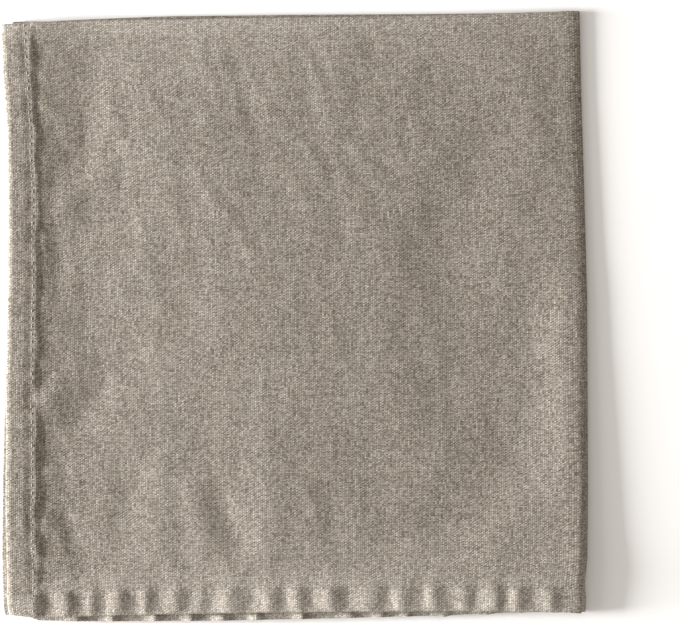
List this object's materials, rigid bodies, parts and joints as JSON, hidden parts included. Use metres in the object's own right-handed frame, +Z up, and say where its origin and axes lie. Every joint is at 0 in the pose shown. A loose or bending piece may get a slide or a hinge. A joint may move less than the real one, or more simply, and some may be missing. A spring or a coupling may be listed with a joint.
{
  "type": "folded linen napkin",
  "caption": "Square linen table napkin with stitched, lightly puckered hems, folded flat into a smaller soft square that rests on a table or plate.",
  "frame": {"origin": "on the surface that the napkin rests on, below the middle of its outline", "axes": "+Z up, away from the surface; +Y towards the folded far side, along the longer side; +X towards the folded right side, so the free hems are at -X and -Y"},
  "size_m": [0.2282, 0.2378, 0.0085],
  "materials": {
    "linen": "matte plain-weave washed linen, natural grey-beige with slubs and flecks"
  },
  "bodies": {
    "root": {"napkin_cloth": "linen"}
  },
  "joints": []
}
